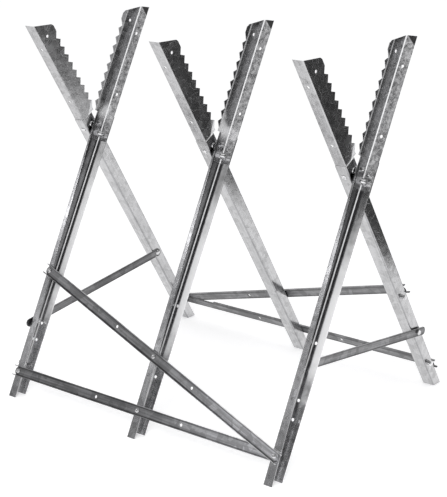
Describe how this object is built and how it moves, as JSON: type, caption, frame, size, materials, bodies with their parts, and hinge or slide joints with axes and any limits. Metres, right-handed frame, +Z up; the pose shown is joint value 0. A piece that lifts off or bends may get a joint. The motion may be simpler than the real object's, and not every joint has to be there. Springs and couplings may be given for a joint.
{
  "type": "log saw stand",
  "caption": "Folding log saw stand of galvanised sheet: X frames with toothed arms that make a V cradle, tied by bars and held open by hooked struts.",
  "frame": {"origin": "on the floor under the middle of the bounding box", "axes": "+X along the row of frames from frame A to frame C, +Y from front to back, +Z up"},
  "size_m": [0.779, 0.6254, 0.79],
  "materials": {
    "arm_sheet": "bright galvanised sheet with spangle",
    "leg_sheet": "bright galvanised sheet with spangle",
    "bar_sheet": "galvanised sheet, greyer",
    "strut_sheet": "galvanised flat bar",
    "fastener_zinc": "zinc plated"
  },
  "bodies": {
    "front_frame": {"front_arm_a": "arm_sheet", "front_arm_b": "arm_sheet", "front_arm_c": "arm_sheet", "front_leg_a": "leg_sheet", "front_leg_b": "leg_sheet", "front_leg_c": "leg_sheet", "front_lower_bar": "bar_sheet", "front_diagonal_bar": "bar_sheet", "pivot_bolt_a": "fastener_zinc", "pivot_bolt_b": "fastener_zinc", "pivot_bolt_c": "fastener_zinc", "pivot_nuts": "fastener_zinc", "pivot_spacers": "fastener_zinc", "front_arm_bolts": "fastener_zinc", "front_arm_nuts": "fastener_zinc", "front_bar_bolts": "fastener_zinc", "front_bar_nuts": "fastener_zinc", "peg_bolts_a": "fastener_zinc", "peg_spacers_a": "fastener_zinc", "peg_nuts_a": "fastener_zinc", "hook_bolt_c": "fastener_zinc", "hook_nut_c": "fastener_zinc"},
    "back_frame": {"back_arm_a": "arm_sheet", "back_arm_b": "arm_sheet", "back_arm_c": "arm_sheet", "back_leg_a": "leg_sheet", "back_leg_b": "leg_sheet", "back_leg_c": "leg_sheet", "back_lower_bar": "bar_sheet", "back_diagonal_bar": "bar_sheet", "back_arm_bolts": "fastener_zinc", "back_arm_nuts": "fastener_zinc", "back_bar_bolts": "fastener_zinc", "back_bar_nuts": "fastener_zinc", "peg_bolts_c": "fastener_zinc", "peg_spacers_c": "fastener_zinc", "peg_nuts_c": "fastener_zinc", "hook_bolt_a": "fastener_zinc", "hook_nut_a": "fastener_zinc"},
    "strut_a": {"strut_a": "strut_sheet"},
    "strut_c": {"strut_c": "strut_sheet"}
  },
  "joints": [
    {"name": "fold", "type": "hinge", "parent": "front_frame", "child": "back_frame", "pos_m": [0, 0, 0.529], "axis": [1, 0, 0], "range_deg": [-54, 0]},
    {"name": "strut_a_swing", "type": "hinge", "parent": "front_frame", "child": "strut_a", "pos_m": [-0.3614, -0.21463, 0.14713], "axis": [1, 0, 0], "range_deg": [0, 44.1]},
    {"name": "strut_c_swing", "type": "hinge", "parent": "back_frame", "child": "strut_c", "pos_m": [0.3614, 0.21463, 0.14713], "axis": [-1, 0, 0], "range_deg": [0, 44.1]}
  ],
  "couplings": [
    {"joint": "strut_a_swing", "follows": "fold", "ratio": -0.8148},
    {"joint": "strut_c_swing", "follows": "fold", "ratio": -0.8148}
  ]
}
